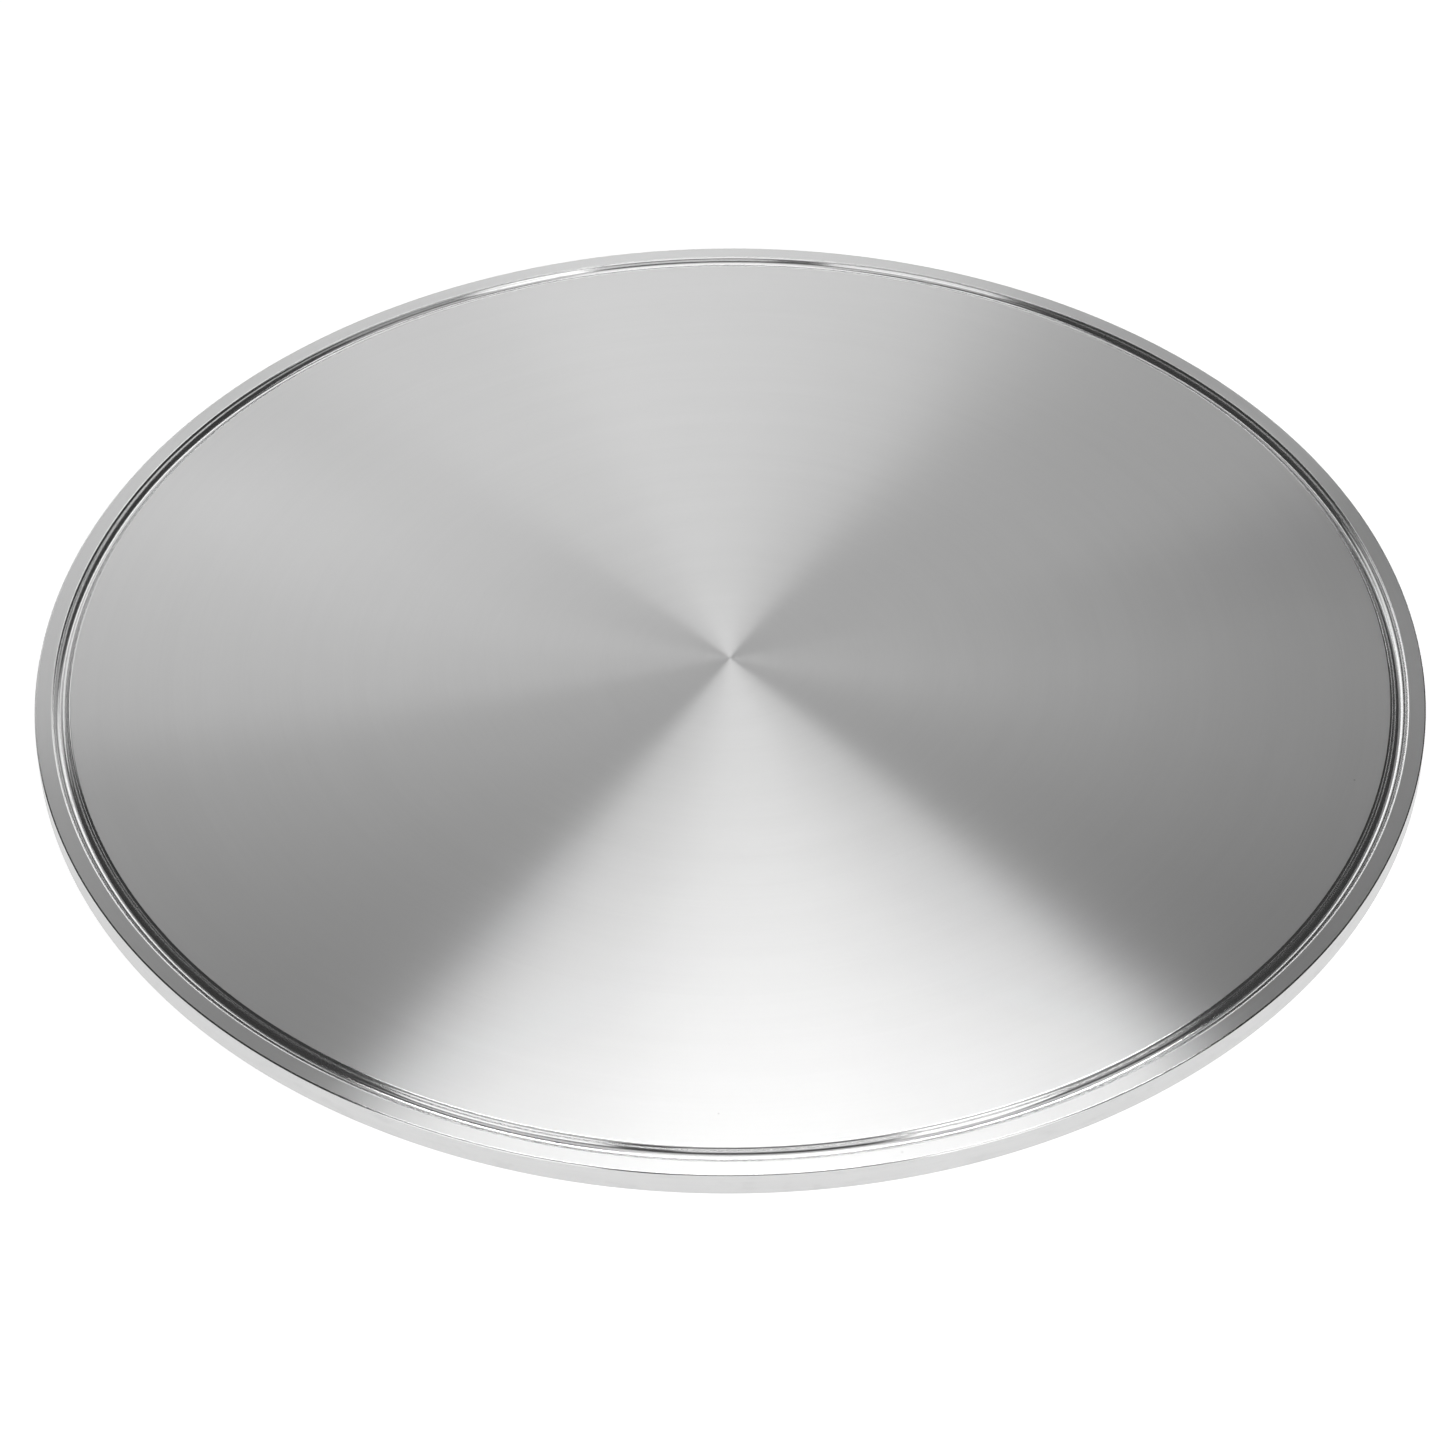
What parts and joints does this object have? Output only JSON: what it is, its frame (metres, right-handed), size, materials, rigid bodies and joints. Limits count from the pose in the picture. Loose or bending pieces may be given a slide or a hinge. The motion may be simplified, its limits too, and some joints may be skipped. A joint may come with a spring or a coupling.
{
  "type": "sanitary clamp end cap",
  "caption": "Solid round stainless end cap for a hygienic clamp joint, with a gasket groove near the rim and a bevelled clamp flange.",
  "frame": {"origin": "centre of the flat back face, on which the cap lies", "axes": "+Z along the cap's axis, out of the sealing face; X and Y lie in the back face and are interchangeable"},
  "size_m": [0.3192, 0.3192, 0.0127],
  "materials": {
    "stainless": "turned"
  },
  "bodies": {
    "root": {"end_cap": "stainless"}
  },
  "joints": []
}
